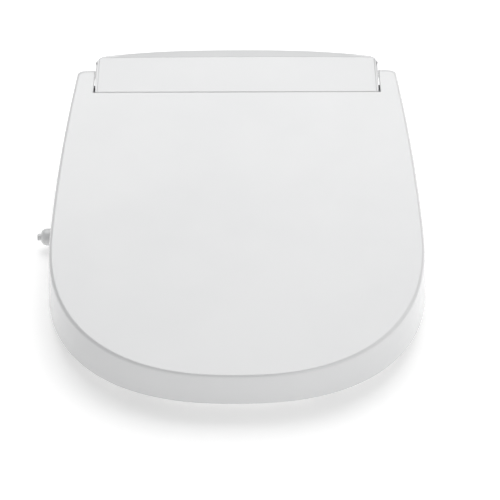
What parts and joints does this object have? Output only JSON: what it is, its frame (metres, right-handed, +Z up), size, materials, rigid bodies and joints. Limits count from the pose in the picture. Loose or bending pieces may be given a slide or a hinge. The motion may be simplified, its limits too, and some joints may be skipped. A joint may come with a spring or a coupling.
{
  "type": "electric bidet seat",
  "caption": "White electric bidet seat with a flared D-shaped lid over a heated seat ring, a low rear housing with sliding wash nozzles and dryer, and a quick-release base plate.",
  "frame": {"origin": "middle of the base plate's underside, on the line of its two bolt slots, at rim level", "axes": "+Z up from the toilet rim, -Y towards the front of the seat, +X to the right of someone who stands in front of the seat and looks at it"},
  "size_m": [0.409, 0.486, 0.106],
  "materials": {
    "white_shell": "gloss moulded",
    "seat_plastic": "gloss moulded",
    "grey_plastic": "fine moulded texture",
    "dark_plastic": "fine moulded texture",
    "clear_plastic": "smooth moulded",
    "pale_rubber": "matt",
    "circuit_board": "solder mask",
    "bright_steel": "turned",
    "heater_foil": "foil"
  },
  "bodies": {
    "base": {"base_plate": "grey_plastic"},
    "housing": {"housing_base": "white_shell", "housing_cover": "white_shell", "cover_trim": "white_shell", "pod_cover": "white_shell", "cable_gland": "dark_plastic", "nozzle_bay": "grey_plastic", "wash_motor": "bright_steel", "bidet_motor": "bright_steel", "inlet_body": "clear_plastic", "solenoid_valve": "dark_plastic", "water_heater": "grey_plastic", "diverter_valve": "dark_plastic", "inlet_hose": "clear_plastic", "heater_hose": "clear_plastic", "diverter_hose": "clear_plastic", "blower_case": "grey_plastic", "blower_motor": "bright_steel", "dryer_duct": "grey_plastic", "control_board": "circuit_board", "power_board": "circuit_board", "case_screw_1": "bright_steel", "case_screw_2": "bright_steel", "case_screw_3": "bright_steel", "case_screw_4": "bright_steel", "damper_left": "dark_plastic", "damper_right": "dark_plastic", "hinge_pin_left": "bright_steel", "hinge_pin_right": "bright_steel"},
    "release": {"release_button": "grey_plastic"},
    "wash_slide": {"wash_nozzle": "clear_plastic", "wash_nozzle_tip": "white_shell"},
    "bidet_slide": {"bidet_nozzle": "clear_plastic", "bidet_nozzle_tip": "white_shell"},
    "wash_gear": {"wash_pinion": "grey_plastic"},
    "bidet_gear": {"bidet_pinion": "grey_plastic"},
    "guard": {"nozzle_guard": "white_shell"},
    "cap": {"strainer_cap": "white_shell"},
    "impeller": {"blower_impeller": "dark_plastic"},
    "air_flap": {"dryer_flap": "white_shell"},
    "seat": {"seat_shell": "seat_plastic", "seat_underplate": "seat_plastic", "seat_heater": "heater_foil", "seat_buffer_front_left": "pale_rubber", "seat_buffer_front_right": "pale_rubber", "seat_buffer_rear_left": "pale_rubber", "seat_buffer_rear_right": "pale_rubber"},
    "lid": {"lid": "white_shell", "lid_buffer_left": "pale_rubber", "lid_buffer_right": "pale_rubber"}
  },
  "joints": [
    {"name": "quick_release_slide", "type": "slide", "parent": "base", "child": "housing", "axis": [0, -1, 0], "range_m": [0, 0.06]},
    {"name": "release_button_press", "type": "slide", "parent": "housing", "child": "release", "axis": [-1, 0, 0], "range_m": [0, 0.003], "stiffness_N_per_m": 600, "springref_m": -0.001},
    {"name": "seat_hinge", "type": "hinge", "parent": "housing", "child": "seat", "pos_m": [0, 0, 0.083], "axis": [1, 0, 0], "range_deg": [-105, 0]},
    {"name": "lid_hinge", "type": "hinge", "parent": "seat", "child": "lid", "pos_m": [0, 0, 0.083], "axis": [-1, 0, 0], "range_deg": [0, 105]},
    {"name": "wash_nozzle_slide", "type": "slide", "parent": "housing", "child": "wash_slide", "axis": [0, -0.9848, -0.1736], "range_m": [0, 0.08]},
    {"name": "bidet_nozzle_slide", "type": "slide", "parent": "housing", "child": "bidet_slide", "axis": [0, -0.9848, -0.1736], "range_m": [0, 0.09]},
    {"name": "wash_pinion_spin", "type": "hinge", "parent": "housing", "child": "wash_gear", "pos_m": [-0.011, -0.03507, 0.02353], "axis": [1, 0, 0], "range_deg": [0, 916.73]},
    {"name": "bidet_pinion_spin", "type": "hinge", "parent": "housing", "child": "bidet_gear", "pos_m": [0.011, -0.03507, 0.02353], "axis": [1, 0, 0], "range_deg": [0, 1031.32]},
    {"name": "nozzle_guard_hinge", "type": "hinge", "parent": "housing", "child": "guard", "pos_m": [0, -0.1216, 0.04], "axis": [-1, 0, 0], "range_deg": [0, 70], "stiffness_Nm_per_rad": 0.01, "springref_deg": -11.46},
    {"name": "strainer_cap_turn", "type": "hinge", "parent": "housing", "child": "cap", "pos_m": [-0.207, -0.178, 0.014], "axis": [-1, 0, 0], "range_deg": [0, 90]},
    {"name": "blower_spin", "type": "hinge", "parent": "housing", "child": "impeller", "pos_m": [0.084, 0.012, 0.042], "axis": [1, 0, 0], "continuous": true},
    {"name": "dryer_flap_hinge", "type": "hinge", "parent": "housing", "child": "air_flap", "pos_m": [0.084, -0.1216, 0.035], "axis": [-1, 0, 0], "range_deg": [0, 60], "stiffness_Nm_per_rad": 0.01, "springref_deg": -11.46}
  ],
  "couplings": [
    {"joint": "wash_pinion_spin", "follows": "wash_nozzle_slide", "rad_per_m": 200},
    {"joint": "bidet_pinion_spin", "follows": "bidet_nozzle_slide", "rad_per_m": 200}
  ]
}
